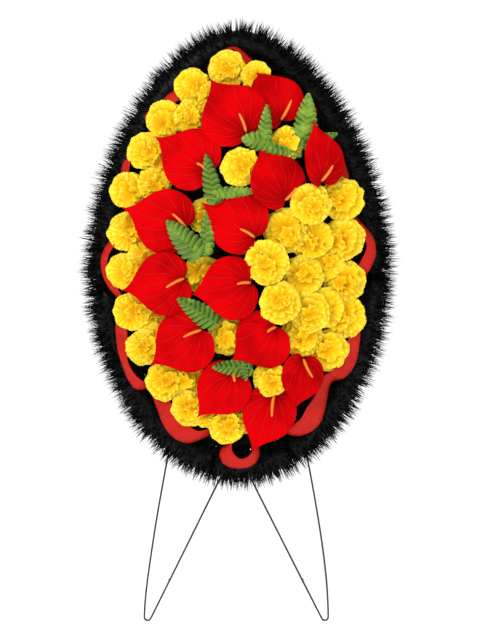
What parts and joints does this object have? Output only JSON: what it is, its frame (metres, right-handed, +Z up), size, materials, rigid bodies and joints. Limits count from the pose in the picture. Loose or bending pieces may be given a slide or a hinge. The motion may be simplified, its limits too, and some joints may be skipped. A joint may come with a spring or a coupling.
{
  "type": "funeral wreath",
  "caption": "Free-standing artificial funeral wreath: egg-shaped tinsel ring on a wire frame with anthuriums, carnations, ferns and ribbon, leaning on a bent-wire stand.",
  "frame": {"origin": "on the floor, under the middle of the bounding box of the wreath and its stand", "axes": "+Z up, the flowers face -Y, +X is to the right of someone facing the flowers; the wreath leans back 10 degrees towards +Y"},
  "size_m": [0.6112, 0.4392, 1.19],
  "materials": {
    "bristle": "cut black foil bristles, dull with a slight sheen",
    "needle": "dull black-green needles",
    "steel": "dark grey drawn wire, half gloss",
    "ribbon": "glossy red ribbon",
    "anthurium": "flocked red cloth with pressed veins, orange spadix",
    "carnation": "thin pleated yellow cloth, paler at the rims",
    "fern": "moulded green leaf, half gloss"
  },
  "bodies": {
    "root": {"garland_top": "bristle", "garland_left": "bristle", "garland_bottom": "bristle", "garland_right": "bristle", "needle_mat": "needle", "frame_hoop_left": "steel", "frame_hoop_right": "steel", "frame_spine": "steel", "frame_bar_upper": "steel", "frame_bar_middle": "steel", "frame_bar_lower": "steel", "stand_leg_left": "steel", "stand_leg_right": "steel", "stand_rear_prop": "steel", "ribbon_top": "ribbon", "ribbon_left": "ribbon", "ribbon_bottom": "ribbon", "ribbon_right": "ribbon", "anthurium_01": "anthurium", "anthurium_02": "anthurium", "anthurium_03": "anthurium", "anthurium_04": "anthurium", "anthurium_05": "anthurium", "anthurium_06": "anthurium", "anthurium_07": "anthurium", "anthurium_08": "anthurium", "anthurium_09": "anthurium", "anthurium_10": "anthurium", "anthurium_11": "anthurium", "anthurium_12": "anthurium", "anthurium_13": "anthurium", "anthurium_14": "anthurium", "fern_01": "fern", "fern_02": "fern", "fern_03": "fern", "fern_04": "fern", "fern_05": "fern", "fern_06": "fern", "carnations_01": "carnation", "carnations_02": "carnation", "carnations_03": "carnation", "carnations_04": "carnation", "carnations_05": "carnation", "carnations_06": "carnation", "carnations_07": "carnation", "carnations_08": "carnation", "carnations_09": "carnation", "carnations_10": "carnation", "carnations_11": "carnation", "carnations_12": "carnation", "carnations_13": "carnation", "carnations_14": "carnation", "carnations_15": "carnation", "carnations_16": "carnation", "carnations_17": "carnation", "carnations_18": "carnation", "carnations_19": "carnation", "carnations_20": "carnation", "carnations_21": "carnation", "carnations_22": "carnation"}
  },
  "joints": []
}
